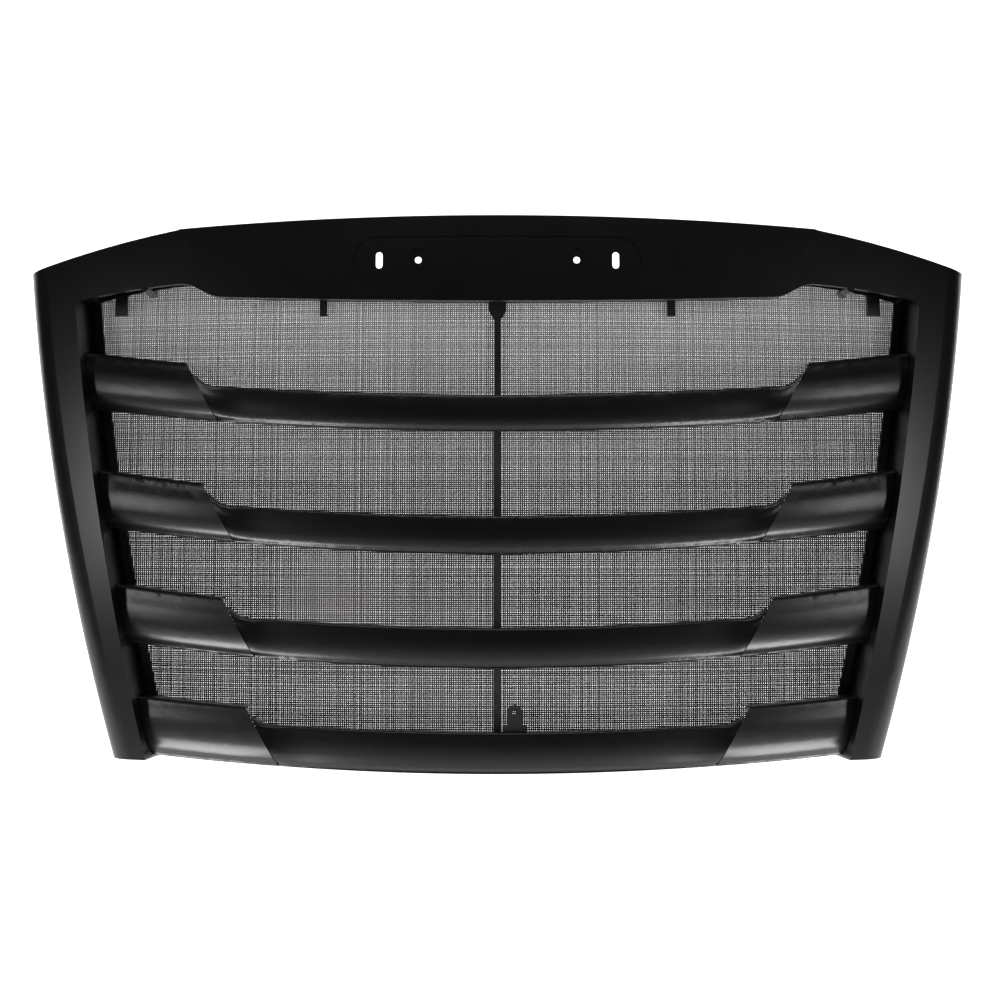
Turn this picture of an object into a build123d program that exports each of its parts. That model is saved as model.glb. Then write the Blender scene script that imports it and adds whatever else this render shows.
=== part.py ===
from build123d import *
from math import atan, degrees, radians, sqrt, tan
import os

# Front grille of a heavy truck, all sizes in millimetres.
# X runs to the right across the grille, Y runs back into the engine bay and Z runs up.
# The origin is midway between the two upper hood bolts, in the plane of their bracket faces.

# The face: bowed in plan about an upright axis and leaning back along an upright arc.
BOW_R = 1665.0          # plan radius of the face at its foremost height
FRONT_DEPTH = 270.0     # foremost point of the face ahead of the hood plane
LEAN_R = 2600.0         # radius of the upright arc
LEAN_Z = -520.0         # height at which the face is foremost

# The surround: two pillars under one top panel.
SHOULDER_W = 1274.0     # overall width at the shoulders
FOOT_W = 1010.0         # overall width at the feet of the pillars
SHOULDER_Z = 80.0       # height of the shoulder corners
CROWN_Z = 144.0         # top edge at the middle
FOOT_Z = -566.0         # underside of the pillars
SIDE_BULGE = 13.5       # how far the side edges bow outwards
FACE_W_TOP = 64.0       # pillar face width at the shoulder
FACE_W_FOOT = 46.0      # pillar face width at the foot
INNER_BULGE = 10.5      # how far the inner pillar edges bow outwards
PANEL_LOW_Z = 30.0      # lower edge of the top panel at the middle
PANEL_LOW_RISE = 8.5    # rise of that edge from the middle to the crease
CREASE_TOP_X = 425.0    # crease between corner and centre panel, at the top edge
CREASE_LOW_X = 372.0    # and at the lower edge
CREASE_RISE = 12.0      # the top edge at the crease lies this far under the crown
CORNER_LOW_Z = 58.0     # lower edge beside the crease, on the corner side
CORNER_IN_Z = 38.5      # lower edge where it reaches the pillar
PANEL_RAISE = 7.0       # the centre panel stands this far proud of the corners
WALL = 3.2              # moulded wall
SIDE_ROLL = 40.0        # radius that rolls the pillar face into its side wall
WALL_REAR = 6.0         # side walls stop this far ahead of the hood plane
TOP_FLANGE = 42.0       # depth of the top flange
RETURN_DEPTH = 72.0     # depth of the pillars' inner walls
PANEL_RETURN = 22.0     # depth of the return under the top panel
DRAFT = 0.153           # inward slope of the inner walls, per mm of depth
PRISM = 420.0           # reach of the cutting shapes along the depth

# The louvers, from the top one down: height of the lower edge at the middle,
# height of the blade at the middle, radius of the sagging edge.
LOUVERS = [(-139.0, 48.5, 4600.0), (-298.5, 50.0, 4050.0), (-445.5, 52.3, 4100.0), (-582.0, 54.5, 5400.0)]
END_H = 78.0            # height of the wide end blocks
END_LEN = 163.0         # length of an end block along its top edge
STEP_SLANT = 29.0       # slant of the step, degrees from upright
END_INSET = 30.0        # front line of the end blocks behind the face surface
STEP_BACK = 12.0        # the middle blade lies this far behind the end blocks
LOUVER_REAR = 66.0      # rear edges of the louvers behind the face surface
END_ROLL = 30.0         # depth of the rolled lower edge on the end blocks
MID_ROLL = 15.0         # depth of the rolled lower edge on the middle blade
BLADE = 3.0             # louver wall
FIT = 0.5               # gap between pieces that are fitted together

# The emblem seat on the centre panel: seat, two bolt holes and two slots for locating tabs.
EMBLEM_Z = 84.0
SEAT_W = 376.0
SEAT_H = 64.0
SEAT_DEPTH = 1.2
EMBLEM_PITCH = 206.0
EMBLEM_HOLE = 9.0
DIMPLE_W = 22.0
DIMPLE_H = 32.0
SLOT_PITCH = 308.0
SLOT_W = 9.0
SLOT_H = 22.0

# The insect screen behind the louvers, with its bound edge, strut and small holders.
SCREEN_INSET = 76.0     # screen behind the face surface
SCREEN_T = 1.2
BIND_T = 6.0            # thickness of the bound edge
BIND_IN = 14.0          # bound edge inside the window
BIND_OUT = 12.0         # bound edge behind the surround
BIND_TOP_LOW = 4.0      # the upper bound edge starts this far above the window
BIND_TOP = 22.0         # width of the bound edge along the top and the bottom
BIND_LOW_Z = 12.0       # bottom of the bound edge above the lowest louver's lower edge
LIP = 3.0               # lip at the rear of the inner walls
LIP_T = 2.0
STRUT_W = 10.5
STRUT_TOP_W = 7.5
STRUT_SCREW_D = 4.2
STRUT_T = 6.0
STRUT_HEAD_W = 23.0
HOOK_X = 231.0
HOOK_W = 10.5
HOOK_DROP = 17.0
TAB_X = 512.0
LUG_X = 22.0
LUG_W = 24.0
LUG_H = 34.0

# Fastenings.
HOOD_BOLT_IN = 34.5     # upper hood bolts inside the outer edge, at height zero
LOW_BOLT_IN = 24.4      # lower hood bolts inside the outer edge
LOW_BOLT_Z = -500.0
HOOD_HOLE = 11.0
TOP_BOLT_X = 230.0      # bolts of the two top brackets
TOP_BOLT_Z = 100.0
PLATE = 3.0             # bracket steel
PLATE_W = 36.0
PLATE_H = 100.0
SCREW_PITCH = 70.0      # the two screws that hold each bracket
SCREW_D = 6.0
PAD_W = 34.0            # moulded pads under the brackets
BOSS_D = 10.0
BOSS_LEN = 16.0         # bosses behind the pillars' inner walls
RIVET_D = 5.0
RIVET_HEAD = 14.0
RIVET_Z = (-30.0, -165.0, -325.0, -470.0)
RIVET_X = (110.0, 320.0, 470.0)
END_SCREW_D = 5.0
END_SCREW_GAP = 34.0    # between the two screws of a louver end
TRIM = 1.6              # rubber edge trim


def fall(z):
    """How far the face has leaned back at a height."""
    return LEAN_R - sqrt(LEAN_R**2 - (z - LEAN_Z) ** 2)


def face_y(x, z, inset=0.0):
    """Depth of the surface that lies this far behind the face."""
    return BOW_R - FRONT_DEPTH - sqrt((BOW_R - fall(z) - inset) ** 2 - x * x)


def bow_body(inset):
    """Everything behind the surface that lies this far behind the face."""
    low, high = FOOT_Z - 150.0, CROWN_Z + 60.0
    axis_y = BOW_R - FRONT_DEPTH
    points = [(axis_y + BOW_R - fall(z) - inset, z) for z in (low, (low + high) / 2, high)]
    with BuildPart(mode=Mode.PRIVATE) as body:
        with BuildSketch(Plane.YZ):
            with BuildLine():
                ThreePointArc(*points)
                Polyline(points[2], (axis_y, high), (axis_y, low), points[0])
            make_face()
        revolve(axis=Axis((0, axis_y, 0), (0, 0, 1)))
    return body.part


def front_plane(y):
    """Plane facing forwards at a depth, with X to the right and Z up."""
    return Plane(origin=(0, y, 0), x_dir=(1, 0, 0), z_dir=(0, -1, 0))


def between(low, high, z, z_low, z_high, bulge):
    """Half width at a height on an edge that bows outwards between two ends."""
    part = (z - z_low) / (z_high - z_low)
    return low + (high - low) * part + 4 * bulge * part * (1 - part)


def side_x(z):
    """Half width of the outer side edge at a height."""
    return between(FOOT_W / 2, SHOULDER_W / 2, z, FOOT_Z, SHOULDER_Z, SIDE_BULGE)


def inner_x(z):
    """Half width of the inner pillar edge at a height, at the front."""
    low, high = FOOT_W / 2 - FACE_W_FOOT, SHOULDER_W / 2 - FACE_W_TOP
    return between(low, high, z, FOOT_Z, SHOULDER_Z, INNER_BULGE)


def wall_x(y, z, grow=0.0):
    """Half width of the pillars' inner walls at a depth and height."""
    return inner_x(z) + DRAFT * (face_y(inner_x(z), z) - y) + grow


def outline(shrink):
    """Outer outline of the surround seen from the front, drawn in by a margin."""
    shoulder, crease = (SHOULDER_W / 2, SHOULDER_Z), (CREASE_TOP_X, CROWN_Z - CREASE_RISE)
    foot = (FOOT_W / 2, FOOT_Z)
    waist_z = (FOOT_Z + SHOULDER_Z) / 2
    slope = (crease[1] - shoulder[1]) / (shoulder[0] - crease[0])
    with BuildSketch(mode=Mode.PRIVATE) as sketch:
        with BuildLine():
            ThreePointArc(foot, (side_x(waist_z), waist_z), shoulder)
            middle = ((shoulder[0] + crease[0]) / 2, (shoulder[1] + crease[1]) / 2 + 4.0)
            ThreePointArc(shoulder, middle, crease)
            ThreePointArc(crease, (0, CROWN_Z), (-crease[0], crease[1]))
            ThreePointArc((-crease[0], crease[1]), (-middle[0], middle[1]), (-shoulder[0], shoulder[1]))
            ThreePointArc((-shoulder[0], shoulder[1]), (-side_x(waist_z), waist_z), (-foot[0], foot[1]))
            Line((-foot[0], foot[1]), foot)
        make_face()
        if shrink:
            offset(amount=-shrink, kind=Kind.INTERSECTION)
    return sketch.sketch




def extruded(sketch, y, reach):
    """A front-view outline carried forwards from a depth."""
    with BuildPart(mode=Mode.PRIVATE) as block:
        with BuildSketch(front_plane(y)):
            add(sketch)
        extrude(amount=reach)
    return block.part


def crease_block(shrink):
    """Wedge-sided block that bounds the raised centre panel."""
    foot_z = PANEL_LOW_Z + 14
    knee_z = CROWN_Z - 26
    y = face_y(CREASE_TOP_X, knee_z, PANEL_RAISE)
    foot_x = CREASE_LOW_X + 12 + y - face_y(CREASE_LOW_X, foot_z, PANEL_RAISE)
    lean = (CREASE_TOP_X - foot_x) / (knee_z - foot_z)
    low_z = foot_z - PRISM
    right = [(CREASE_TOP_X - shrink, CROWN_Z + PRISM), (CREASE_TOP_X - shrink, knee_z)]
    right.append((foot_x - lean * PRISM - shrink, low_z))
    with BuildPart(mode=Mode.PRIVATE) as block:
        with BuildSketch(front_plane(y + shrink)):
            with BuildLine():
                Polyline(*right, *[(-x, z) for x, z in reversed(right)], close=True)
            make_face()
        extrude(amount=PRISM / 2, taper=45)
    return block.part


def surround_body(inset):
    """The filled surround without its window, every surface drawn in by a margin."""
    rear = PLATE if inset else -WALL_REAR
    prism = extruded(outline(inset), rear, PRISM)
    with BuildPart(mode=Mode.PRIVATE) as body:
        add(prism)
        add(bow_body(PANEL_RAISE + inset), mode=Mode.INTERSECT)
        sides = body.edges().filter_by(lambda e: e.length > 500 and abs(e.center().X) > CREASE_TOP_X)
        fillet(sides.sort_by(Axis.Y)[:2], radius=SIDE_ROLL - inset)
    with BuildPart(mode=Mode.PRIVATE) as raised:
        add(prism)
        add(bow_body(inset), mode=Mode.INTERSECT)
        add(crease_block(inset), mode=Mode.INTERSECT)
    return body.part + raised.part


def window_face(y, grow, lift):
    """The opening of the surround at a depth, widened and raised by margins."""
    low_z, top_z = FOOT_Z - 60, CORNER_IN_Z + lift
    heights = [low_z + (top_z - low_z) * step / 5 for step in range(6)]
    pillar = [(wall_x(y, z, grow), z) for z in heights]
    crease = (CREASE_TOP_X - 5, CORNER_LOW_Z + lift)
    foot = (CREASE_LOW_X - 10, PANEL_LOW_Z + PANEL_LOW_RISE + lift)
    corner = pillar[-1]
    middle = ((corner[0] + crease[0]) / 2, (corner[1] + crease[1]) / 2 + 2.5)
    with BuildSketch(mode=Mode.PRIVATE) as sketch:
        with BuildLine():
            Spline(*pillar)
            ThreePointArc(corner, middle, crease)
            Spline(crease, foot, tangents=[(-1, 0), (-1, -0.04)])
            ThreePointArc(foot, (0, PANEL_LOW_Z + lift), (-foot[0], foot[1]))
            Spline((-foot[0], foot[1]), (-crease[0], crease[1]), tangents=[(-1, 0.04), (-1, 0)])
            ThreePointArc((-crease[0], crease[1]), (-middle[0], middle[1]), (-corner[0], corner[1]))
            Spline(*[(-x, z) for x, z in reversed(pillar)])
            Line((-pillar[0][0], low_z), (pillar[0][0], low_z))
        make_face()
    return sketch.sketch


def window_prism(grow, lift=None):
    """The opening of the surround as a block that narrows to the rear."""
    with BuildPart(mode=Mode.PRIVATE) as block:
        for y in (-PRISM, PRISM / 10):
            with BuildSketch(front_plane(y)):
                add(window_face(y, grow, grow if lift is None else lift))
        loft(ruled=True)
    return block.part


def shell_between(near, far):
    """The layer between two surfaces that lie these distances behind the face."""
    return bow_body(near) - bow_body(far)


def window_top_z(x):
    """Lower edge of the top panel at a distance from the middle."""
    return PANEL_LOW_Z + PANEL_LOW_RISE * min(abs(x) / CREASE_LOW_X, 1.0) ** 2


def tube_sketch(x, z, width, height, wall, turn=0.0):
    """A rectangular tube outline seen from the front."""
    with BuildSketch(mode=Mode.PRIVATE) as sketch:
        with Locations((x, z)):
            Rectangle(width, height, rotation=turn)
            Rectangle(width - 2 * wall, height - 2 * wall, rotation=turn, mode=Mode.SUBTRACT)
    return sketch.sketch


def block_at(x, z, width, height, y, reach, turn=0.0):
    """A rectangular block carried forwards from a depth."""
    with BuildPart(mode=Mode.PRIVATE) as block:
        with BuildSketch(front_plane(y)):
            with Locations((x, z)):
                Rectangle(width, height, rotation=turn)
        extrude(amount=reach)
    return block.part


def rod(x, z, diameter, y, reach):
    """A round rod carried forwards from a depth."""
    with BuildPart(mode=Mode.PRIVATE) as block:
        with BuildSketch(front_plane(y)):
            with Locations((x, z)):
                Circle(diameter / 2)
        extrude(amount=reach)
    return block.part


def mirrored(part):
    """The same piece on the other side of the middle."""
    return mirror(part, about=Plane.YZ, mode=Mode.PRIVATE)


def both_sides(parts):
    """Pieces of the right half together with their mirror images."""
    return parts + [mirrored(part) for part in parts]


# Places of the fastenings, right half.
RIVET_OFF = WALL + BOSS_D / 2 - 0.6
TOP_PAD_Y = face_y(TOP_BOLT_X + PAD_W / 2, TOP_BOLT_Z + PLATE_H / 4) + WALL + 12.0
SIDE_BOLTS = [(side_x(0) - HOOD_BOLT_IN, 0.0), (side_x(LOW_BOLT_Z) - LOW_BOLT_IN, LOW_BOLT_Z)]


def rivet_places():
    """Places of the rivets that hold the screen, right half, seen from the front."""
    sides = [(wall_x(face_y(inner_x(z), z, RETURN_DEPTH), z, RIVET_OFF), z) for z in RIVET_Z]
    tops = [(x, window_top_z(x) + BIND_TOP_LOW + BIND_TOP / 2) for x in RIVET_X]
    return sides + tops


def pillar_lean(z):
    """How far a pillar leans outwards per mm of height."""
    return (inner_x(z + 1) + side_x(z + 1) - inner_x(z) - side_x(z)) / 2


def screw_places(x, z):
    """Places of the two screws of a side bracket, in line with its pillar."""
    lean = pillar_lean(z)
    run, rise = lean * SCREW_PITCH / 2, SCREW_PITCH / 2
    return [(x - run, z - rise), (x + run, z + rise)]


def top_screw_heights():
    """Heights of the two screws of a top bracket."""
    return (TOP_BOLT_Z - PLATE_H / 8, TOP_BOLT_Z + PLATE_H / 8)


def end_plane(level):
    """Plane of a louver's right end: X to the rear, Y up, facing outwards."""
    low_z = LOUVERS[level][0]
    z = low_z + inner_x(low_z) ** 2 / (2 * LOUVERS[level][2]) + END_H / 2
    y = face_y(inner_x(z), z, END_INSET)
    rearward = Vector(-DRAFT, 1, 0)
    upward = Vector(wall_x(y, z + 1) - wall_x(y, z), 0, 1)
    return Plane(origin=(wall_x(y, z), y, z), x_dir=rearward, z_dir=upward.cross(rearward) * -1)


def end_screw_planes(level):
    """Planes on a louver's right end where its two screws go in."""
    plane = end_plane(level)
    depth = (LOUVER_REAR - END_INSET) / 2 + 2.0
    half = END_SCREW_GAP / 2
    return [plane.shift_origin(plane.from_local_coords((depth, up))) for up in (-half, half)]


def drilled(plane, diameter, inside, outside):
    """A round rod through a plane, reaching inwards and outwards."""
    with BuildPart(mode=Mode.PRIVATE) as block:
        with BuildSketch(plane.offset(-inside)):
            Circle(diameter / 2)
        extrude(amount=inside + outside)
    return block.part


def return_cuts():
    """What is taken away behind the inner walls and behind the panel's return."""
    behind = window_prism(WALL + 40.0) & bow_body(RETURN_DEPTH)
    width = 2 * (inner_x(0) - 18.0)
    upper = block_at(0, PANEL_LOW_Z + 50.0, width, 120.0, PLATE, PRISM) & bow_body(PANEL_RETURN)
    return behind, upper & window_prism(WALL + 6.0)


def surround_features():
    """Pads that carry the brackets and bosses for the rivets, right half."""
    rear = []
    for x, z in SIDE_BOLTS:
        turn = -degrees(atan(pillar_lean(z)))
        rear.append(extruded(tube_sketch(x, z, PAD_W, PLATE_H - 6.0, WALL, turn), -PLATE, PRISM))
        rear.append(block_at(x, z, PAD_W, PLATE_H - 6.0, -PLATE, WALL, turn))
    top = [extruded(tube_sketch(TOP_BOLT_X, TOP_BOLT_Z, PAD_W, PLATE_H / 2, WALL), TOP_PAD_Y, PRISM)]
    top.append(block_at(TOP_BOLT_X, TOP_BOLT_Z, PAD_W, PLATE_H / 2, TOP_PAD_Y, WALL))
    bosses = [rod(x, z, BOSS_D, PLATE, PRISM) for x, z in rivet_places()]
    short = shell_between(RETURN_DEPTH - BOSS_LEN, RETURN_DEPTH)
    behind = bow_body(RETURN_DEPTH)
    sides = [boss & short for boss in bosses[:len(RIVET_Z)]]
    return rear + top + sides + [boss - behind for boss in bosses[len(RIVET_Z):]]


def emblem_cuts():
    """Shallow seat, dimples, holes and slots for an emblem on the centre panel."""
    with BuildSketch(mode=Mode.PRIVATE) as seat:
        with Locations((0, EMBLEM_Z)):
            SlotOverall(SEAT_W, SEAT_H)
    with BuildSketch(mode=Mode.PRIVATE) as dimples:
        with Locations((-EMBLEM_PITCH / 2, EMBLEM_Z), (EMBLEM_PITCH / 2, EMBLEM_Z)):
            Ellipse(DIMPLE_W / 2, DIMPLE_H / 2)
    with BuildSketch(mode=Mode.PRIVATE) as holes:
        with Locations((-EMBLEM_PITCH / 2, EMBLEM_Z), (EMBLEM_PITCH / 2, EMBLEM_Z)):
            Circle(EMBLEM_HOLE / 2)
        with Locations((-SLOT_PITCH / 2, EMBLEM_Z), (SLOT_PITCH / 2, EMBLEM_Z)):
            SlotOverall(SLOT_H, SLOT_W, rotation=90)
    front = face_y(SLOT_PITCH / 2, EMBLEM_Z) + WALL + 20.0
    seat_cut = extruded(seat.sketch, front, PRISM) - bow_body(SEAT_DEPTH)
    dimple_cut = extruded(dimples.sketch, front, PRISM) - bow_body(SEAT_DEPTH * 1.8)
    return [seat_cut, dimple_cut, extruded(holes.sketch, front, PRISM)]


def surround_holes():
    """Holes for the rivets, bracket screws, hood bolts and louver screws."""
    right = [rod(x, z, RIVET_D, PLATE, PRISM) & shell_between(RETURN_DEPTH - 18.0, SCREEN_INSET)
             for x, z in rivet_places()]
    for x, z in SIDE_BOLTS:
        right += [rod(at_x, at_z, SCREW_D, PLATE, 30.0) for at_x, at_z in screw_places(x, z)]
        right.append(rod(x, z, HOOD_HOLE + 14.0, PLATE, 30.0))
    right += [rod(TOP_BOLT_X, at_z, SCREW_D, TOP_PAD_Y, 8.0) for at_z in top_screw_heights()]
    for level in range(len(LOUVERS)):
        right += [drilled(plane, END_SCREW_D + 0.6, 4.0, 8.0) for plane in end_screw_planes(level)]
    return right


def lip():
    """Narrow lip along the rear edges of the inner walls."""
    height = PANEL_LOW_Z - LIP - FIT - FOOT_Z
    zone = block_at(0, FOOT_Z + height / 2, SHOULDER_W, height, PLATE, PRISM)
    ring = window_prism(FIT) - window_prism(-LIP)
    return ring & shell_between(RETURN_DEPTH - LIP_T, RETURN_DEPTH) & zone


def flange_cut():
    """What is taken away behind the flange along the top edge."""
    width = 2 * (SIDE_BOLTS[0][0] - 30.0)
    return block_at(0, CROWN_Z, width, CROWN_Z, PLATE, PRISM) & bow_body(TOP_FLANGE)


surround_skin = surround_body(0.0) - (surround_body(WALL) - window_prism(WALL)) - window_prism(0.0)
middle_layer = surround_body(WALL / 2)

with BuildPart() as surround:
    add(surround_skin)
    add([*return_cuts(), flange_cut()], mode=Mode.SUBTRACT)
    add(lip())
    split(bisect_by=Plane.YZ)
    for feature in surround_features():
        add(feature & middle_layer)
    for cut in surround_holes() + emblem_cuts():
        add(cut, mode=Mode.SUBTRACT)
    mirror(about=Plane.YZ)
surround.part.label = "surround"


def louver_profile(height, roll):
    """Sampled front curve of a blade: distances back from its front line and down from its top."""
    steps = (0.0, 0.12, 0.3, 0.5, 0.66, 0.78, 0.88, 0.95, 1.0)
    flat = 0.45
    points = []
    for t in steps:
        if t < flat:
            back = 26.0 * (flat - t) ** 2 * height / END_H
        else:
            back = roll * (1 - (1 - ((t - flat) / (1 - flat)) ** 2.6) ** 0.5)
        points.append((back, t * height))
    return points


def inner_points(points):
    """The same curve drawn in by the blade's wall."""
    moved = []
    for index, (back, down) in enumerate(points):
        before, after = points[max(index - 1, 0)], points[min(index + 1, len(points) - 1)]
        run, drop = after[0] - before[0], after[1] - before[1]
        size = sqrt(run * run + drop * drop)
        moved.append((back + BLADE * drop / size, down - BLADE * run / size))
    moved[0] = (points[0][0] + BLADE * 1.4, BLADE)
    moved[-1] = (points[-1][0] + BLADE * 0.3, points[-1][1] - BLADE)
    return moved


def louver_low_z(level, x):
    """Height of a louver's lower edge at a distance from the middle."""
    low_z, _, radius = LOUVERS[level]
    return low_z + radius - sqrt(radius**2 - x * x)


def louver_section(level, x, slant, height, back, roll, draft, hollow):
    """One closed section of a louver whose lower edge lies at a distance from the middle."""
    low_z = louver_low_z(level, x)
    side = 1 if x >= 0 else -1
    rise = tan(radians(slant)) * side
    low_y, top_z = face_y(x, low_z, END_INSET + back), low_z + height
    top_y = face_y(x + rise * height, top_z, END_INSET + back)
    top = Vector(x + rise * height - draft * side * (top_y - low_y), top_y, top_z)
    upward = Vector(rise, 0, 1)
    rearward = Vector(-draft * side, 1, 0)
    plane = Plane(origin=top, x_dir=rearward, z_dir=rearward.cross(upward))
    stretch = sqrt(1 + rise * rise)

    def place(point):
        run, down = point
        px = top.X - rise * down
        y = face_y(px, top.Z - down, END_INSET + back) + run - top.Y
        return (y * rearward.length, -down * stretch)

    rear = LOUVER_REAR - END_INSET - back
    outer = louver_profile(height, roll)
    curve = [place(point) for point in outer]
    start, finish = place((outer[0][0] + 3.0, 0.0)), curve[-1]
    rear_top, rear_low = place((rear, 0.0)), place((rear, height - 2.0))
    with BuildSketch(plane, mode=Mode.PRIVATE) as sketch:
        with BuildLine():
            Line(rear_top, start)
            Spline(start, *curve[1:], tangents=[(-1, 0.0), (1, 0.0)])
            if hollow:
                inner = [place(point) for point in inner_points(outer)]
                rear_in_low, rear_in_top = place((rear, height - 2.0 - BLADE)), place((rear, BLADE))
                Line(finish, rear_low)
                Line(rear_low, rear_in_low)
                Line(rear_in_low, inner[-1])
                Spline(*reversed(inner))
                Line(inner[0], rear_in_top)
                Line(rear_in_top, rear_top)
            else:
                Polyline(finish, rear_low, rear_top)
        make_face()
    return sketch.sketch


def louver_stations(level):
    """Stations of the right half from the end to the middle: place, slant, height, set back, roll, draft."""
    low_z, mid_h, _ = LOUVERS[level]
    end_z = louver_low_z(level, inner_x(low_z))
    end_y = face_y(inner_x(end_z), end_z, END_INSET)
    pillar_slant = degrees(atan((wall_x(end_y, end_z + END_H) - wall_x(end_y, end_z)) / END_H))
    end_x = wall_x(end_y, end_z) - FIT
    step_x = inner_x(end_z + END_H / 2) - END_LEN - END_H / 2 * tan(radians(STEP_SLANT))
    ends = []
    for part in (0.0, 0.25, 0.6, 1.0):
        slant = pillar_slant + (STEP_SLANT - pillar_slant) * part
        ends.append((end_x + (step_x - end_x) * part, slant, END_H, 0.0, END_ROLL, DRAFT * (1 - part)))
    middles = []
    for run in (0.0, 3.0, 8.0, 16.0, 30.0, 60.0, 110.0, 180.0):
        near = max(0.0, 1 - run / 24.0) ** 4
        soft = max(0.0, 1 - run / 60.0) ** 3
        slant = STEP_SLANT * max(0.0, 1 - run / 180.0)
        height = mid_h + (END_H - 14.0 - mid_h) * near
        roll = MID_ROLL + (END_ROLL - MID_ROLL) * soft
        middles.append((step_x - run, slant, height, 3.0 + (STEP_BACK - 3.0) * (1 - soft), roll, 0.0))
    return ends, middles


def louver_end(level, side, hollow):
    """One wide end block of a louver."""
    ends, _ = louver_stations(level)
    with BuildPart(mode=Mode.PRIVATE) as block:
        for x, slant, height, back, roll, draft in ends:
            add(louver_section(level, x * side, slant, height, back, roll, draft, hollow))
        loft()
    return block.part


def louver_middle(level, hollow):
    """The narrower blade between the two end blocks."""
    _, middles = louver_stations(level)
    right = middles + [(0.0, 0.0, LOUVERS[level][1], STEP_BACK, MID_ROLL, 0.0)]
    stations = [(1, *station) for station in right] + [(-1, *station) for station in reversed(middles)]
    with BuildPart(mode=Mode.PRIVATE) as block:
        for side, x, slant, height, back, roll, draft in stations:
            add(louver_section(level, x * side, slant, height, back, roll, draft, hollow))
        loft()
    return block.part


def louver_end_pieces(level, side):
    """The plate that closes a louver's end and its two screw bosses, with the holes in them."""
    filled = louver_end(level, side, False)
    planes = end_screw_planes(level)
    solids = [drilled(end_plane(level), 4 * END_H, BLADE + FIT, BLADE)]
    solids += [drilled(plane, BOSS_D, 18.0, -BLADE / 2) for plane in planes]
    holes = [drilled(plane, END_SCREW_D + 0.4, 16.5, BLADE) for plane in planes]
    if side < 0:
        solids, holes = [mirrored(solid) for solid in solids], [mirrored(hole) for hole in holes]
    return [solid & filled for solid in solids], holes


def strut_screw_z(level):
    """Height of the screw that holds the strut to a louver."""
    return LOUVERS[level][0] + LOUVERS[level][1] / 2


louvers = []
for level in range(len(LOUVERS)):
    with BuildPart() as louver:
        add(louver_middle(level, True))
        holes = [rod(0, strut_screw_z(level), STRUT_SCREW_D, PLATE, PRISM) & bow_body(LOUVER_REAR - 16.0)]
        add(rod(0, strut_screw_z(level), BOSS_D, PLATE, PRISM) & louver_middle(level, False))
        for side in (-1, 1):
            add(louver_end(level, side, True))
            pieces, end_holes = louver_end_pieces(level, side)
            for piece in pieces:
                add(piece)
            holes += end_holes
        for hole in holes:
            add(hole, mode=Mode.SUBTRACT)
    louver.part.label = f"louver_{level + 1}"
    louvers.append(louver.part)


def screen_zone(rise):
    """What lies above the bottom edge of the screen, raised by a margin."""
    low_z, _, radius = LOUVERS[-1]
    half = SHOULDER_W / 2
    bottom = low_z + BIND_LOW_Z + rise
    ends_z = bottom + half**2 / (2 * radius)
    with BuildSketch(mode=Mode.PRIVATE) as sketch:
        with BuildLine():
            ThreePointArc((-half, ends_z), (0, bottom), (half, ends_z))
            Polyline((half, ends_z), (half, CROWN_Z), (-half, CROWN_Z), (-half, ends_z))
        make_face()
    return extruded(sketch.sketch, PLATE, PRISM)


with BuildPart() as screen_mesh:
    add(window_prism(BIND_OUT - 4.0, BIND_TOP_LOW + BIND_TOP - 4.0))
    add(shell_between(SCREEN_INSET, SCREEN_INSET + SCREEN_T), mode=Mode.INTERSECT)
    add(screen_zone(4.0), mode=Mode.INTERSECT)
    for x, z in rivet_places():
        add(both_sides([rod(x, z, RIVET_D + 1.0, PLATE, PRISM)]), mode=Mode.SUBTRACT)
screen_mesh.part.label = "screen_mesh"

with BuildPart() as screen_binding:
    add(window_prism(BIND_OUT, BIND_TOP_LOW + BIND_TOP))
    add(shell_between(RETURN_DEPTH + FIT, RETURN_DEPTH + FIT + BIND_T), mode=Mode.INTERSECT)
    add(screen_zone(0.0), mode=Mode.INTERSECT)
    add(window_prism(-BIND_IN, BIND_TOP_LOW) & screen_zone(BIND_TOP), mode=Mode.SUBTRACT)
    add(screen_mesh.part, mode=Mode.SUBTRACT)
    add(rod(0, strut_screw_z(len(LOUVERS) - 1), BOSS_D + 2.0, PLATE, PRISM), mode=Mode.SUBTRACT)
    for x, z in rivet_places():
        add(both_sides([rod(x, z, RIVET_D + 1.0, PLATE, PRISM)]), mode=Mode.SUBTRACT)
screen_binding.part.label = "screen_binding"


def strut_outline():
    """Outline of the strut: a short head, a thin upper stretch and a wider lower one."""
    top_z, low_z = PANEL_LOW_Z + BIND_TOP, LOUVERS[-1][0] + BIND_LOW_Z
    step_z = strut_screw_z(0)
    right = [(STRUT_W / 2, low_z), (STRUT_W / 2, step_z), (STRUT_TOP_W / 2, step_z + 8.0)]
    right += [(STRUT_TOP_W / 2 + 0.5, top_z - 42.0)]
    right += [(STRUT_HEAD_W / 2, top_z - 30.0), (STRUT_HEAD_W / 2, top_z)]
    with BuildSketch(mode=Mode.PRIVATE) as sketch:
        with BuildLine():
            Polyline(*right, *[(-x, z) for x, z in reversed(right)], close=True)
        make_face()
    return sketch.sketch


with BuildPart() as centre_strut:
    add(extruded(strut_outline(), PLATE, PRISM))
    add(shell_between(LOUVER_REAR + FIT / 2, LOUVER_REAR + FIT / 2 + STRUT_T), mode=Mode.INTERSECT)
    for level in range(len(LOUVERS)):
        add(rod(0, strut_screw_z(level), STRUT_SCREW_D + 0.4, PLATE, PRISM), mode=Mode.SUBTRACT)
centre_strut.part.label = "centre_strut"


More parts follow.
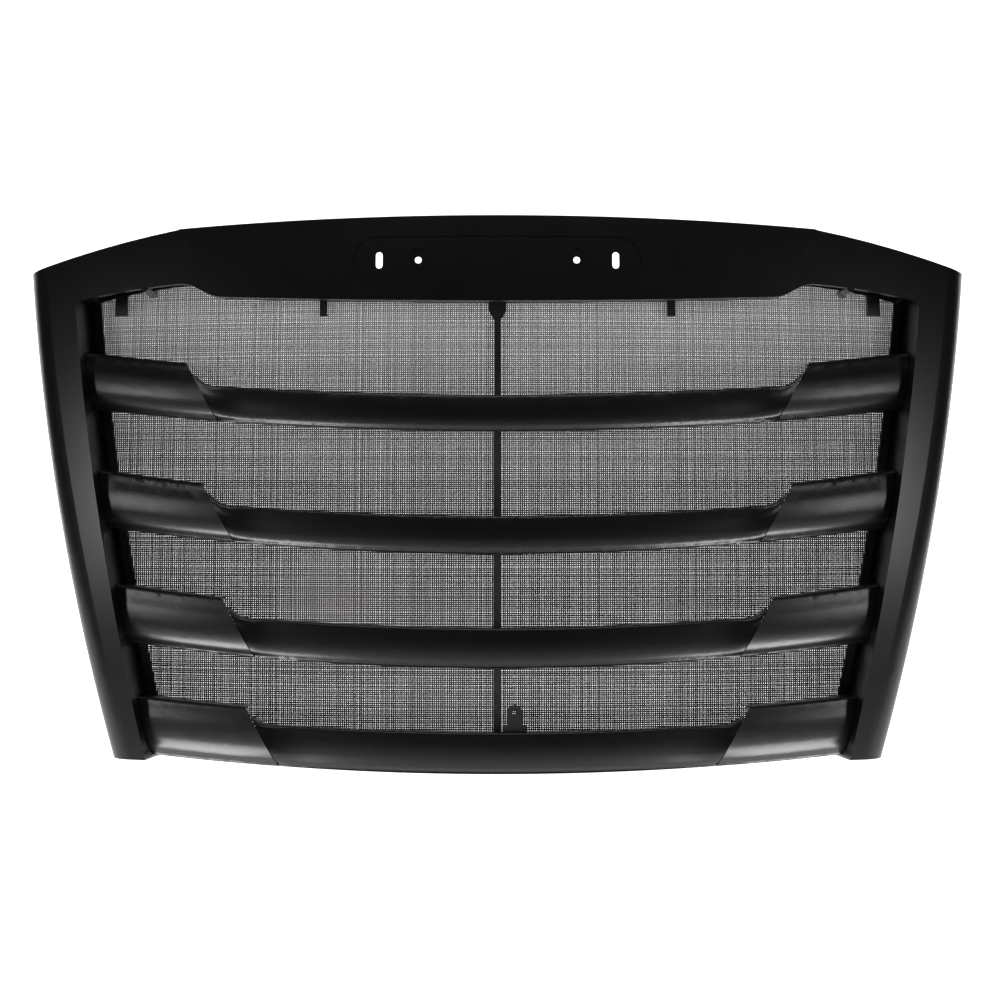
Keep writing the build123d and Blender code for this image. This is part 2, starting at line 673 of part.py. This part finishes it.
def lug_outline():
    """Outline of the stop beside the foot of the strut: a wide base and a rounded lug."""
    base_z = louver_low_z(len(LOUVERS) - 1, LUG_X) + LOUVERS[-1][1] + FIT
    head_z = base_z + LUG_H - LUG_W / 2 + 2.0
    with BuildSketch(mode=Mode.PRIVATE) as sketch:
        with Locations((LUG_X, base_z + 3.5)):
            Rectangle(LUG_W + 8.0, 7.0)
        with Locations((LUG_X, (base_z + head_z) / 2)):
            Rectangle(LUG_W - 4.0, head_z - base_z)
        with Locations((LUG_X, head_z)):
            Circle(LUG_W / 2 - 2.0)
            Circle(3.0, mode=Mode.SUBTRACT)
    return sketch.sketch


with BuildPart() as strut_lug:
    add(extruded(lug_outline(), PLATE, PRISM))
    add(shell_between(LOUVER_REAR - 14.0, LOUVER_REAR - 5.0), mode=Mode.INTERSECT)
strut_lug.part.label = "strut_lug"

with BuildPart() as top_hooks:
    hook_top, hook_low = window_top_z(HOOK_X) + BIND_TOP, window_top_z(HOOK_X) - HOOK_DROP
    height = hook_top - hook_low
    hook = block_at(HOOK_X, hook_low + height / 2, HOOK_W, height, PLATE, PRISM) & shell_between(
        LOUVER_REAR - 4.0, LOUVER_REAR - 1.5)
    lip_block = block_at(HOOK_X, hook_low + 1.5, HOOK_W, 3.0, PLATE, PRISM)
    add([hook, lip_block & shell_between(LOUVER_REAR - 4.0, RETURN_DEPTH)])
    mirror(about=Plane.YZ)
top_hooks.part.label = "top_hooks"

with BuildPart() as corner_tabs:
    tab_top = CORNER_IN_Z + 12.0
    tab = block_at(TAB_X, tab_top - 14.0, 18.0, 28.0, PLATE, PRISM)
    add(tab & shell_between(LOUVER_REAR - 2.0, RETURN_DEPTH))
    mirror(about=Plane.YZ)
corner_tabs.part.label = "corner_tabs"


def screw(plane, diameter, length, head_d, head_t):
    """A pan-head screw whose head sits on a plane and whose shank goes in behind it."""
    with BuildPart(mode=Mode.PRIVATE) as body:
        with BuildSketch(plane):
            Circle(head_d / 2)
        extrude(amount=head_t)
        fillet(body.faces().sort_by(Axis(plane.origin, plane.z_dir))[-1].edges(), radius=head_t * 0.4)
        with BuildSketch(plane):
            Circle(diameter / 2)
        extrude(amount=-length)
    return body.part


def countersunk(x, z, diameter, length):
    """A countersunk screw, flush with the hood plane."""
    with BuildPart(mode=Mode.PRIVATE) as body:
        with BuildSketch(front_plane(0.0)):
            with Locations((x, z)):
                Circle(diameter)
        extrude(amount=diameter / 2, taper=45)
        with BuildSketch(front_plane(0.0)):
            with Locations((x, z)):
                Circle(diameter / 2)
        extrude(amount=length)
    return body.part


with BuildPart() as louver_screws:
    for level in range(len(LOUVERS)):
        for plane in end_screw_planes(level):
            seat = plane.offset(WALL + 0.3)
            for piece in both_sides([screw(seat, END_SCREW_D, 16.0, 10.0, 3.0)]):
                add(piece)
louver_screws.part.label = "louver_screws"

with BuildPart() as strut_screws:
    for level in range(len(LOUVERS)):
        z = strut_screw_z(level)
        y = face_y(0, z, LOUVER_REAR + FIT + STRUT_T) + 0.6
        seat = Plane(origin=(0, y, z), x_dir=(1, 0, 0), z_dir=(0, 1, 0))
        add(screw(seat, STRUT_SCREW_D, 18.0, 9.0, 2.2))
strut_screws.part.label = "strut_screws"

with BuildPart() as screen_rivets:
    for x, z in rivet_places():
        y = face_y(x, z, RETURN_DEPTH + FIT + BIND_T) + RIVET_HEAD / 5
        seat = Plane(origin=(x, y, z), x_dir=(1, 0, 0), z_dir=(0, 1, 0))
        for piece in both_sides([screw(seat, RIVET_D - 0.4, BIND_T + 15.0, RIVET_HEAD, 2.2)]):
            add(piece)
screen_rivets.part.label = "screen_rivets"


def side_bracket(x, z):
    """A flat steel plate with a hood-bolt hole between two countersunk screws, right side."""
    with BuildPart(mode=Mode.PRIVATE) as plate:
        with BuildSketch(front_plane(0.0)):
            with Locations((x, z)):
                RectangleRounded(PLATE_W, PLATE_H, 6.0, rotation=-degrees(atan(pillar_lean(z))))
                Circle(HOOD_HOLE / 2, mode=Mode.SUBTRACT)
        extrude(amount=PLATE)
        for at_x, at_z in screw_places(x, z):
            add(countersunk(at_x, at_z, SCREW_D, PLATE), mode=Mode.SUBTRACT)
    return plate.part


def top_bracket(x):
    """A steel strip that reaches from the back of the top panel to the hood plane."""
    top_z, low_z, rear_y = TOP_BOLT_Z + PLATE_H / 4, TOP_BOLT_Z - PLATE_H / 4, TOP_PAD_Y + PLATE
    with BuildPart(mode=Mode.PRIVATE) as strip:
        with BuildSketch(Plane.YZ.offset(x - PLATE_W / 2)):
            with BuildLine():
                Polyline((TOP_PAD_Y, low_z), (TOP_PAD_Y, top_z), (0, top_z), (0, low_z), (-PLATE, low_z),
                         (-PLATE, top_z - PLATE), (rear_y, top_z - PLATE), (rear_y, low_z), close=True)
            make_face()
        extrude(amount=PLATE_W)
        fillet(strip.edges().filter_by(Axis.X).sort_by(Axis.Z)[-2:], radius=PLATE * 1.2)
        add(rod(x, TOP_BOLT_Z, HOOD_HOLE, PLATE, 3 * PLATE), mode=Mode.SUBTRACT)
        for z in top_screw_heights():
            add(rod(x, z, SCREW_D + 0.4, rear_y + PLATE, 3 * PLATE), mode=Mode.SUBTRACT)
    return strip.part


brackets = {}
for level_name, (x, z) in zip(("upper", "lower"), SIDE_BOLTS):
    brackets[f"bracket_{level_name}_right"] = side_bracket(x, z)
    brackets[f"bracket_{level_name}_left"] = mirrored(side_bracket(x, z))
brackets["bracket_top_right"] = top_bracket(TOP_BOLT_X)
brackets["bracket_top_left"] = top_bracket(-TOP_BOLT_X)

with BuildPart() as bracket_screws:
    places = [place for x, z in SIDE_BOLTS for place in screw_places(x, z)]
    right = [countersunk(x, z, SCREW_D - 0.2, 20.0) for x, z in places]
    for z in top_screw_heights():
        seat = Plane(origin=(TOP_BOLT_X, TOP_PAD_Y + PLATE, z), x_dir=(1, 0, 0), z_dir=(0, 1, 0))
        right.append(screw(seat, SCREW_D - 0.2, 12.0, 12.0, 4.0))
    for piece in both_sides(right):
        add(piece)
bracket_screws.part.label = "bracket_screws"


def trim_ring(y, reach):
    """Rubber around the rear edge of the moulded walls, seen from the front, without the walls."""
    around = extruded(outline(-TRIM), y, reach) - extruded(outline(WALL + TRIM), y, reach)
    return around


walls = extruded(outline(0.0), PLATE, PRISM) - extruded(outline(WALL), PLATE, PRISM)

with BuildPart() as side_trim:
    add(trim_ring(TRIM - WALL_REAR, 10.0))
    add(walls - block_at(0, 0, 2 * SHOULDER_W, 4 * SHOULDER_W, PLATE, PLATE + WALL_REAR), mode=Mode.SUBTRACT)
    side_height = SHOULDER_Z - FOOT_Z - 60.0
    middle_z = FOOT_Z + 20.0 + side_height / 2
    zone = block_at(SHOULDER_W / 2, middle_z, SHOULDER_W / 2, side_height, PLATE, PRISM)
    add(zone, mode=Mode.INTERSECT)

with BuildPart() as top_trim:
    add(trim_ring(PLATE, PRISM))
    add(shell_between(TOP_FLANGE - 8.0, TOP_FLANGE + TRIM), mode=Mode.INTERSECT)
    add(walls - bow_body(TOP_FLANGE), mode=Mode.SUBTRACT)
    add(block_at(0, CROWN_Z, 2 * (SIDE_BOLTS[0][0] - 40.0), CROWN_Z - 40.0, PLATE, PRISM), mode=Mode.INTERSECT)
top_trim.part.label = "top_trim"

pieces = {"surround": surround.part, "screen_mesh": screen_mesh.part}
pieces["screen_binding"] = screen_binding.part
pieces |= {louver.label: louver for louver in louvers}
pieces |= {"centre_strut": centre_strut.part, "strut_lug": strut_lug.part, "top_hooks": top_hooks.part}
pieces |= {"corner_tabs": corner_tabs.part, "louver_screws": louver_screws.part}
pieces |= {"strut_screws": strut_screws.part, "screen_rivets": screen_rivets.part}
pieces |= {"bracket_screws": bracket_screws.part, "top_trim": top_trim.part}
pieces |= {"side_trim_right": side_trim.part, "side_trim_left": mirrored(side_trim.part)}
pieces |= brackets

os.makedirs("parts", exist_ok=True)
for name, piece in pieces.items():
    piece.label = name
    export_step(piece, f"parts/{name}.step")
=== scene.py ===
"""Looks of a heavy truck's front grille: moulded black plastic, a wire insect screen and its fastenings."""

import math
import random

import bmesh
import bpy
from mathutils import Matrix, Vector
from mathutils.bvhtree import BVHTree


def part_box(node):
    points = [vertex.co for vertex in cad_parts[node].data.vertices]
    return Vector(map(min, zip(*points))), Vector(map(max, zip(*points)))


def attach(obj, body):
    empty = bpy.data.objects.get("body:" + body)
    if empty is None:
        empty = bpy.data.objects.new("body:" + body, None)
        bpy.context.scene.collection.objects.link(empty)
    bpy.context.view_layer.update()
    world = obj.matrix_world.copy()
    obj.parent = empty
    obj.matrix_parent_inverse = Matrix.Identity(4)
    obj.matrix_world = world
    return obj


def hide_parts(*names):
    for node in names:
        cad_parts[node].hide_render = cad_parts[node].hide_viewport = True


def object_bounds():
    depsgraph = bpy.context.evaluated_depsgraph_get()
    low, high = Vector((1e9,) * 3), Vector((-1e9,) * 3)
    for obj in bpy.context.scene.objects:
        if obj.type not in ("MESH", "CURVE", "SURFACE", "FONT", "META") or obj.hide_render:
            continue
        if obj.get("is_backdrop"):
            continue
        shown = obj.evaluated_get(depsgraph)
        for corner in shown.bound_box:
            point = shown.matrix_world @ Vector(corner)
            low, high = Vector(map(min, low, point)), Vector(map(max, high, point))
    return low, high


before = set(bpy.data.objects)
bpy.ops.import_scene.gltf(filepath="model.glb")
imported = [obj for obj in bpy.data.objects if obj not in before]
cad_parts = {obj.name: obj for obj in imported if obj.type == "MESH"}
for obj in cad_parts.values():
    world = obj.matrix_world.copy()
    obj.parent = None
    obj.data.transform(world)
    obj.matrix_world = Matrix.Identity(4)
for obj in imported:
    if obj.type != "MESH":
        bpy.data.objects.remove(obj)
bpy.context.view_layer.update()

bl_info = {
    "name": "Truck front grille",
    "version": (1, 0, 0),
    "blender": (4, 5, 0),
    "location": "3D View > Sidebar > Grille",
    "description": "Finishes for a moulded truck grille and the wire screen behind its louvers",
    "category": "Object",
}

LOUVERS = ("louver_1", "louver_2", "louver_3", "louver_4")
BRACKETS = tuple(f"bracket_{row}_{side}" for row in ("upper", "lower", "top") for side in ("left", "right"))
SCREWS = ("louver_screws", "strut_screws", "bracket_screws")
RUBBER = ("top_trim", "side_trim_left", "side_trim_right")
CLIPS = ("top_hooks", "corner_tabs", "strut_lug", "screen_rivets")

REARWARD = Vector((0, 1, 0))
PROBE_Y = -2.0              # well ahead of the grille, where the probes of the screen start
PROBE_STEP = 0.004          # distance between probes along a wire
LEVEL_STEP = 0.024          # distance between the points of a level wire
UPRIGHT_STEP = 0.04         # and of an upright one
PITCH_PLAY = 0.09           # unevenness of the pitch, as a share of it
LAYER_LIFT = 0.2            # level wires lie this share of a wire behind the sheet, upright ones ahead
WIRE_DEPTH = 0.55           # depth of a wire as a share of its width
WIRE_SEED = 4
# Height on the screen and how light the wires are there, both as shares: painted shade that makes the wires
# darker towards the foot.
PAINTED_SHADE_STOPS = ((0.0, 0.025), (0.36, 0.05), (0.58, 0.16), (0.9, 1.0))
STAGE_HALF = 6.0            # the floor and the backdrop reach this far to each side
FLOOR_REAR = 5.0
BACKDROP_Y = 4.0
GLOW_SPAN = (-1.3, -0.2)    # the floor's glow rises over this stretch, front to rear
PALE = (0.9, 0.9, 0.9)
VIEW_PLANE_Y = -0.105       # depth at which the view width is measured


class GrillePlastic(bpy.types.PropertyGroup):
    """Moulded plastic of the surround and the louvers."""

    shade: bpy.props.FloatProperty(
        name="Shade", description="How light the black plastic is", default=0.003, min=0.0, max=1.0)
    gloss: bpy.props.FloatProperty(
        name="Roughness", description="Roughness of the satin surface", default=0.3, min=0.0, max=1.0)
    grain: bpy.props.FloatProperty(
        name="Grain size", description="Size of the fine moulded grain", default=0.0011, unit="LENGTH")


class GrilleScreen(bpy.types.PropertyGroup):
    """Insect screen of crossed wires."""

    pitch: bpy.props.FloatProperty(
        name="Pitch", description="Distance from wire to wire", default=0.0028, unit="LENGTH")
    wire: bpy.props.FloatProperty(
        name="Wire width", description="Width of one wire", default=0.00195, unit="LENGTH")
    waves: bpy.props.FloatProperty(
        name="Waves", description="How far the stretched screen waves in and out",
        default=0.0007, unit="LENGTH")
    shade: bpy.props.FloatProperty(
        name="Shade", description="How light the wires are at the top", default=0.5, min=0.0, max=1.0)


class GrilleStage(bpy.types.PropertyGroup):
    """Floor, backdrop, lights and camera."""

    distance: bpy.props.FloatProperty(
        name="Camera distance", description="From the camera to the middle of the grille's depth",
        default=3.0,
        unit="LENGTH")
    view_width: bpy.props.FloatProperty(
        name="View width", description="Width seen at that distance", default=1.34, unit="LENGTH")
    eye: bpy.props.FloatProperty(
        name="Eye height", description="Height of the camera", default=-0.228, unit="LENGTH")
    floor_gap: bpy.props.FloatProperty(
        name="Floor gap", description="From the lowest louver down to the floor",
        default=0.26, unit="LENGTH")


def new_material(name):
    """An empty node material with a Principled shader, and its nodes and links."""
    material = bpy.data.materials.new(name)
    material.use_nodes = True
    return material, material.node_tree.nodes["Principled BSDF"]


def add_node(material, kind, **values):
    """A new node of a kind, with its sockets set by name."""
    node = material.node_tree.nodes.new(kind)
    for name, value in values.items():
        node.inputs[name.replace("_", " ")].default_value = value
    return node


def link(material, start, socket, end, target):
    """A link from one node's output to another's input."""
    material.node_tree.links.new(start.outputs[socket], end.inputs[target])


def mottle(material, shader, dark, light, scale):
    """Slow variation of the colour between two shades."""
    place = add_node(material, "ShaderNodeTexCoord")
    noise = add_node(material, "ShaderNodeTexNoise", Scale=scale, Detail=6.0, Roughness=0.6)
    ramp = add_node(material, "ShaderNodeValToRGB")
    ramp.color_ramp.elements[0].position = 0.3
    ramp.color_ramp.elements[0].color = (*dark, 1.0)
    ramp.color_ramp.elements[1].position = 0.7
    ramp.color_ramp.elements[1].color = (*light, 1.0)
    link(material, place, "Object", noise, "Vector")
    link(material, noise, "Fac", ramp, "Fac")
    link(material, ramp, "Color", shader, "Base Color")
    return place


def uneven_gloss(material, shader, place, low, high, scale):
    """Roughness that drifts a little over the surface."""
    noise = add_node(material, "ShaderNodeTexNoise", Scale=scale, Detail=3.0, Roughness=0.5)
    spread = add_node(material, "ShaderNodeMapRange")
    spread.inputs["To Min"].default_value = low
    spread.inputs["To Max"].default_value = high
    link(material, place, "Object", noise, "Vector")
    link(material, noise, "Fac", spread, "Value")
    link(material, spread, "Result", shader, "Roughness")


def grained(material, shader, place, size, depth, strength):
    """Fine bumps of a moulded or sprayed surface."""
    noise = add_node(material, "ShaderNodeTexNoise", Scale=1.0 / size, Detail=2.0, Roughness=0.5)
    bump = add_node(material, "ShaderNodeBump", Strength=strength, Distance=depth)
    link(material, place, "Object", noise, "Vector")
    link(material, noise, "Fac", bump, "Height")
    link(material, bump, "Normal", shader, "Normal")


def plastic(name, shade, gloss, grain, spread=0.35):
    """Moulded black plastic with a satin surface."""
    material, shader = new_material(name)
    place = mottle(material, shader, (shade * (1 - spread),) * 3, (shade * (1 + spread),) * 3, 9.0)
    uneven_gloss(material, shader, place, gloss * 0.94, gloss * 1.06, 22.0)
    grained(material, shader, place, grain, 0.00003, 0.25)
    shader.inputs["Specular IOR Level"].default_value = 0.5
    return material


def metal(name, colour, gloss, metallic):
    """Plated or painted steel with a faintly uneven coat."""
    material, shader = new_material(name)
    place = mottle(material, shader, tuple(c * 0.8 for c in colour), tuple(c * 1.15 for c in colour), 60.0)
    uneven_gloss(material, shader, place, gloss * 0.85, gloss * 1.2, 90.0)
    grained(material, shader, place, 0.0006, 0.00002, 0.3)
    shader.inputs["Metallic"].default_value = metallic
    return material


def woven_tape(name, shade):
    """Black woven tape with ribs a little over a millimetre apart."""
    material, shader = new_material(name)
    place = mottle(material, shader, (shade * 0.6,) * 3, (shade * 1.5,) * 3, 300.0)
    waves = add_node(material, "ShaderNodeTexWave", Scale=140.0, Distortion=1.5, Detail=2.0)
    bump = add_node(material, "ShaderNodeBump", Strength=0.6, Distance=0.0003)
    link(material, place, "Object", waves, "Vector")
    link(material, waves, "Fac", bump, "Height")
    link(material, bump, "Normal", shader, "Normal")
    shader.inputs["Roughness"].default_value = 0.85
    return material


def screen_wire(shade, low, high):
    """Grey coated wire, made darker towards the foot of the screen to stand in for the shade there."""
    material, shader = new_material("grey_screen_wire")
    place = add_node(material, "ShaderNodeTexCoord")
    parts = add_node(material, "ShaderNodeSeparateXYZ")
    height = add_node(material, "ShaderNodeMapRange")
    height.inputs["From Min"].default_value = low
    height.inputs["From Max"].default_value = high
    noise = add_node(material, "ShaderNodeTexNoise", Scale=240.0, Detail=4.0)
    spots = add_node(material, "ShaderNodeMapRange")
    spots.inputs["To Min"].default_value = -0.06
    spots.inputs["To Max"].default_value = 0.06
    total = add_node(material, "ShaderNodeMath")
    # The ramp paints shade onto the wires by height, darker towards the foot of the screen.
    ramp = add_node(material, "ShaderNodeValToRGB")
    stops = ramp.color_ramp.elements
    stops[-1].position = PAINTED_SHADE_STOPS[-1][0]
    for position, _ in PAINTED_SHADE_STOPS[1:-1]:
        stops.new(position)
    for stop, (_, share) in zip(stops, PAINTED_SHADE_STOPS):
        stop.color = (shade * share, shade * share, shade * share, 1.0)
    link(material, place, "Object", parts, "Vector")
    link(material, parts, "Z", height, "Value")
    link(material, place, "Object", noise, "Vector")
    link(material, noise, "Fac", spots, "Value")
    link(material, height, "Result", total, 0)
    link(material, spots, "Result", total, 1)
    link(material, total, "Value", ramp, "Fac")
    link(material, ramp, "Color", shader, "Base Color")
    uneven_gloss(material, shader, place, 0.42, 0.6, 300.0)
    return material


def dress(names, material):
    """Give CAD nodes a finish."""
    for name in names:
        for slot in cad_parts[name].material_slots:
            slot.material = material


def probe(tree, fixed, along, upright):
    """Where the screen's CAD sheet is at a place along a wire, or None."""
    x, z = (fixed, along) if upright else (along, fixed)
    return tree.ray_cast(Vector((x, PROBE_Y, z)), REARWARD)[0]


def screen_runs(tree, fixed, upright, low, high):
    """Stretches of one wire where the screen's CAD sheet is, as pairs of ends."""
    runs, hits = [], []
    for index in range(int((high - low) / PROBE_STEP) + 2):
        along = low + PROBE_STEP * index
        if probe(tree, fixed, along, upright):
            hits.append(along)
        else:
            if len(hits) > 4:
                runs.append((hits[0], hits[-1]))
            hits = []
    return runs


def wire_points(tree, fixed, upright, ends, step, lift, waves):
    """Points of one wire on the sheet, waving slightly."""
    count = max(2, int((ends[1] - ends[0]) / step))
    points = []
    for index in range(count + 1):
        along = ends[0] + (ends[1] - ends[0]) * index / count
        hit = probe(tree, fixed, along, upright)
        if hit is None:
            continue
        x, z = (fixed, along) if upright else (along, fixed)
        wave = waves * (math.sin(x * 41.0 + 3.0 * math.sin(z * 13.0)) + math.sin(z * 57.0 + x * 19.0))
        points.append(Vector((x, hit.y + lift + wave, z)))
    return points


def add_wire(work, points, across, half):
    """A four-sided wire along points, its first pair of sides set across it."""
    deep = REARWARD * half * WIRE_DEPTH
    side = across * half
    rings = [[work.verts.new(p + offset) for offset in (side, deep, -side, -deep)] for p in points]
    for ring, following in zip(rings, rings[1:]):
        for index in range(4):
            work.faces.new((ring[index], ring[index - 1], following[index - 1], following[index]))


class GRILLE_OT_moulded_parts(bpy.types.Operator):
    """Finish the surround and the four louvers"""

    bl_idname = "grille.moulded_parts"
    bl_label = "Surround and louvers"

    def execute(self, context):
        sizes = context.scene.grille_plastic
        dress(["surround"], plastic("satin_black_surround", sizes.shade, sizes.gloss, sizes.grain))
        dress(LOUVERS, plastic("satin_black_louver", sizes.shade, sizes.gloss * 1.1, sizes.grain))
        return {"FINISHED"}


class GRILLE_OT_woven_screen(bpy.types.Operator):
    """Lay the insect screen from level and upright wires, in two layers that are not interlaced"""

    bl_idname = "grille.woven_screen"
    bl_label = "Insect screen"

    def execute(self, context):
        sizes = context.scene.grille_screen
        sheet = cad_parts["screen_mesh"]
        tree = BVHTree.FromObject(sheet, context.evaluated_depsgraph_get())
        low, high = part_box("screen_mesh")
        chance = random.Random(WIRE_SEED)
        work = bmesh.new()
        for upright, axis, other, step in ((False, 2, 0, LEVEL_STEP), (True, 0, 2, UPRIGHT_STEP)):
            across = Vector((1, 0, 0)) if upright else Vector((0, 0, 1))
            lift = sizes.wire * (-LAYER_LIFT if upright else LAYER_LIFT)
            for index in range(1, int((high[axis] - low[axis]) / sizes.pitch)):
                fixed = low[axis] + sizes.pitch * (index + chance.uniform(-PITCH_PLAY, PITCH_PLAY))
                half = sizes.wire * chance.uniform(0.46, 0.54)
                for ends in screen_runs(tree, fixed, upright, low[other], high[other]):
                    points = wire_points(tree, fixed, upright, ends, step, lift, sizes.waves)
                    add_wire(work, points, across, half)
        mesh = bpy.data.meshes.new("insect_screen")
        work.to_mesh(mesh)
        work.free()
        piece = bpy.data.objects.new("insect_screen", mesh)
        context.collection.objects.link(piece)
        mesh.materials.append(screen_wire(sizes.shade, low[2], high[2]))
        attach(piece, "root")
        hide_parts("screen_mesh")
        return {"FINISHED"}


class GRILLE_OT_small_parts(bpy.types.Operator):
    """Finish the bound edge, strut, clips, brackets, screws and rubber trims"""

    bl_idname = "grille.small_parts"
    bl_label = "Small parts"

    def execute(self, context):
        dress(["screen_binding"], woven_tape("black_bound_edge", 0.006))
        dress(["centre_strut"], plastic("matt_black_strut", 0.02, 0.5, 0.0014))
        dress(CLIPS, plastic("matt_black_clip", 0.012, 0.5, 0.0012))
        dress(RUBBER, plastic("black_rubber", 0.012, 0.75, 0.0008))
        dress(BRACKETS, metal("black_coated_steel", (0.02, 0.02, 0.021), 0.42, 0.0))
        dress(SCREWS, metal("zinc_plated_steel", (0.62, 0.61, 0.58), 0.34, 1.0))
        return {"FINISHED"}


def area_light(name, place, aim, width, height, power):
    """A soft rectangular light aimed at a point."""
    lamp = bpy.data.lights.new(name, "AREA")
    lamp.shape, lamp.size, lamp.size_y, lamp.energy = "RECTANGLE", width, height, power
    body = bpy.data.objects.new(name, lamp)
    body.location = place
    body.rotation_euler = (Vector(aim) - Vector(place)).to_track_quat("-Z", "Y").to_euler()
    bpy.context.collection.objects.link(body)


def stage_sheet(name, corners, colour, glow, front_glow):
    """A flat pale sheet of the stage that glows behind the grille and less in front of it."""
    mesh = bpy.data.meshes.new(name)
    mesh.from_pydata(corners, [], [(0, 1, 2, 3)])
    sheet = bpy.data.objects.new(name, mesh)
    bpy.context.collection.objects.link(sheet)
    material, shader = new_material(name)
    place = mottle(material, shader, tuple(c * 0.99 for c in colour), colour, 2.0)
    uneven_gloss(material, shader, place, 0.8, 0.9, 3.0)
    shader.inputs["Emission Color"].default_value = (1.0, 1.0, 1.0, 1.0)
    parts = add_node(material, "ShaderNodeSeparateXYZ")
    spread = add_node(material, "ShaderNodeMapRange")
    spread.inputs["From Min"].default_value, spread.inputs["From Max"].default_value = GLOW_SPAN
    spread.inputs["To Min"].default_value = front_glow
    spread.inputs["To Max"].default_value = glow
    link(material, place, "Object", parts, "Vector")
    link(material, parts, "Y", spread, "Value")
    link(material, spread, "Result", shader, "Emission Strength")
    mesh.materials.append(material)
    sheet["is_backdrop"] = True


def studio_air(seen, lighting):
    """Pale surroundings that light the grille far less than they show."""
    world = bpy.data.worlds.new("studio_air")
    world.use_nodes = True
    tree = world.node_tree
    backdrop, fill = tree.nodes["Background"], tree.nodes.new("ShaderNodeBackground")
    backdrop.inputs["Color"].default_value = fill.inputs["Color"].default_value = (1.0, 1.0, 1.0, 1.0)
    backdrop.inputs["Strength"].default_value = seen
    fill.inputs["Strength"].default_value = lighting
    path, mix = tree.nodes.new("ShaderNodeLightPath"), tree.nodes.new("ShaderNodeMixShader")
    tree.links.new(path.outputs["Is Camera Ray"], mix.inputs[0])
    tree.links.new(fill.outputs[0], mix.inputs[1])
    tree.links.new(backdrop.outputs[0], mix.inputs[2])
    tree.links.new(mix.outputs[0], tree.nodes["World Output"].inputs["Surface"])
    return world


class GRILLE_OT_stage(bpy.types.Operator):
    """Set the floor, backdrop, soft lights and camera"""

    bl_idname = "grille.stage"
    bl_label = "Stage"

    def execute(self, context):
        sizes = context.scene.grille_stage
        low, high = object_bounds()
        floor = low[2] - sizes.floor_gap
        half, rear, back = STAGE_HALF, FLOOR_REAR, BACKDROP_Y
        ground = [(-half, -half, floor), (half, -half, floor), (half, rear, floor), (-half, rear, floor)]
        wall = [(-half, back, floor), (half, back, floor), (half, back, half), (-half, back, half)]
        stage_sheet("studio_floor", ground, PALE, 0.9, 0.1)
        stage_sheet("studio_backdrop", wall, PALE, 1.0, 1.0)
        area_light("overhead_light", (0, -1.2, 2.4), (0, -0.2, 0.0), 2.0, 0.6, 16.0)
        for side in (-1, 1):
            place, aim = (0.6 * side, -0.4, floor + 0.02), (0.6 * side, -0.39, 2.0)
            area_light("floor_light", place, aim, 0.36, 0.3, 4.4)
            place, aim = (1.9 * side, -1.64, 0.25), (0.57 * side, -0.15, -0.2)
            area_light("side_light", place, aim, 0.22, 0.6, 7.5)
        context.scene.world = studio_air(0.9, 0.03)
        context.scene.view_settings.view_transform = "Standard"
        lens = bpy.data.cameras.new("view_camera")
        lens.lens = lens.sensor_width * sizes.distance / sizes.view_width
        lens.shift_x = 0.0025
        camera = bpy.data.objects.new("view_camera", lens)
        camera.location = (0, VIEW_PLANE_Y - sizes.distance, sizes.eye)
        camera.rotation_euler = (math.pi / 2, 0, 0)
        context.collection.objects.link(camera)
        context.scene.camera = camera
        return {"FINISHED"}


class GRILLE_PT_panel(bpy.types.Panel):
    """Steps that finish the grille"""

    bl_label = "Grille"
    bl_idname = "GRILLE_PT_panel"
    bl_space_type = "VIEW_3D"
    bl_region_type = "UI"
    bl_category = "Grille"

    def draw(self, context):
        for step in STEPS:
            self.layout.operator(step.bl_idname)
        for group in (context.scene.grille_plastic, context.scene.grille_screen, context.scene.grille_stage):
            own = list(group.bl_rna.properties.keys())[2:]     # after Blender's own rna_type and name
            for name in own:
                self.layout.prop(group, name)


STEPS = (GRILLE_OT_moulded_parts, GRILLE_OT_woven_screen, GRILLE_OT_small_parts, GRILLE_OT_stage)
GROUPS = {"grille_plastic": GrillePlastic, "grille_screen": GrilleScreen, "grille_stage": GrilleStage}


def register():
    for group in (*GROUPS.values(), *STEPS, GRILLE_PT_panel):
        bpy.utils.register_class(group)
    for name, group in GROUPS.items():
        setattr(bpy.types.Scene, name, bpy.props.PointerProperty(type=group))


def unregister():
    for name in GROUPS:
        delattr(bpy.types.Scene, name)
    for group in reversed((*GROUPS.values(), *STEPS, GRILLE_PT_panel)):
        bpy.utils.unregister_class(group)


def main():
    """Run every step."""
    register()
    bpy.ops.grille.moulded_parts()
    bpy.ops.grille.woven_screen()
    bpy.ops.grille.small_parts()
    bpy.ops.grille.stage()


if __name__ == "__main__":
    main()
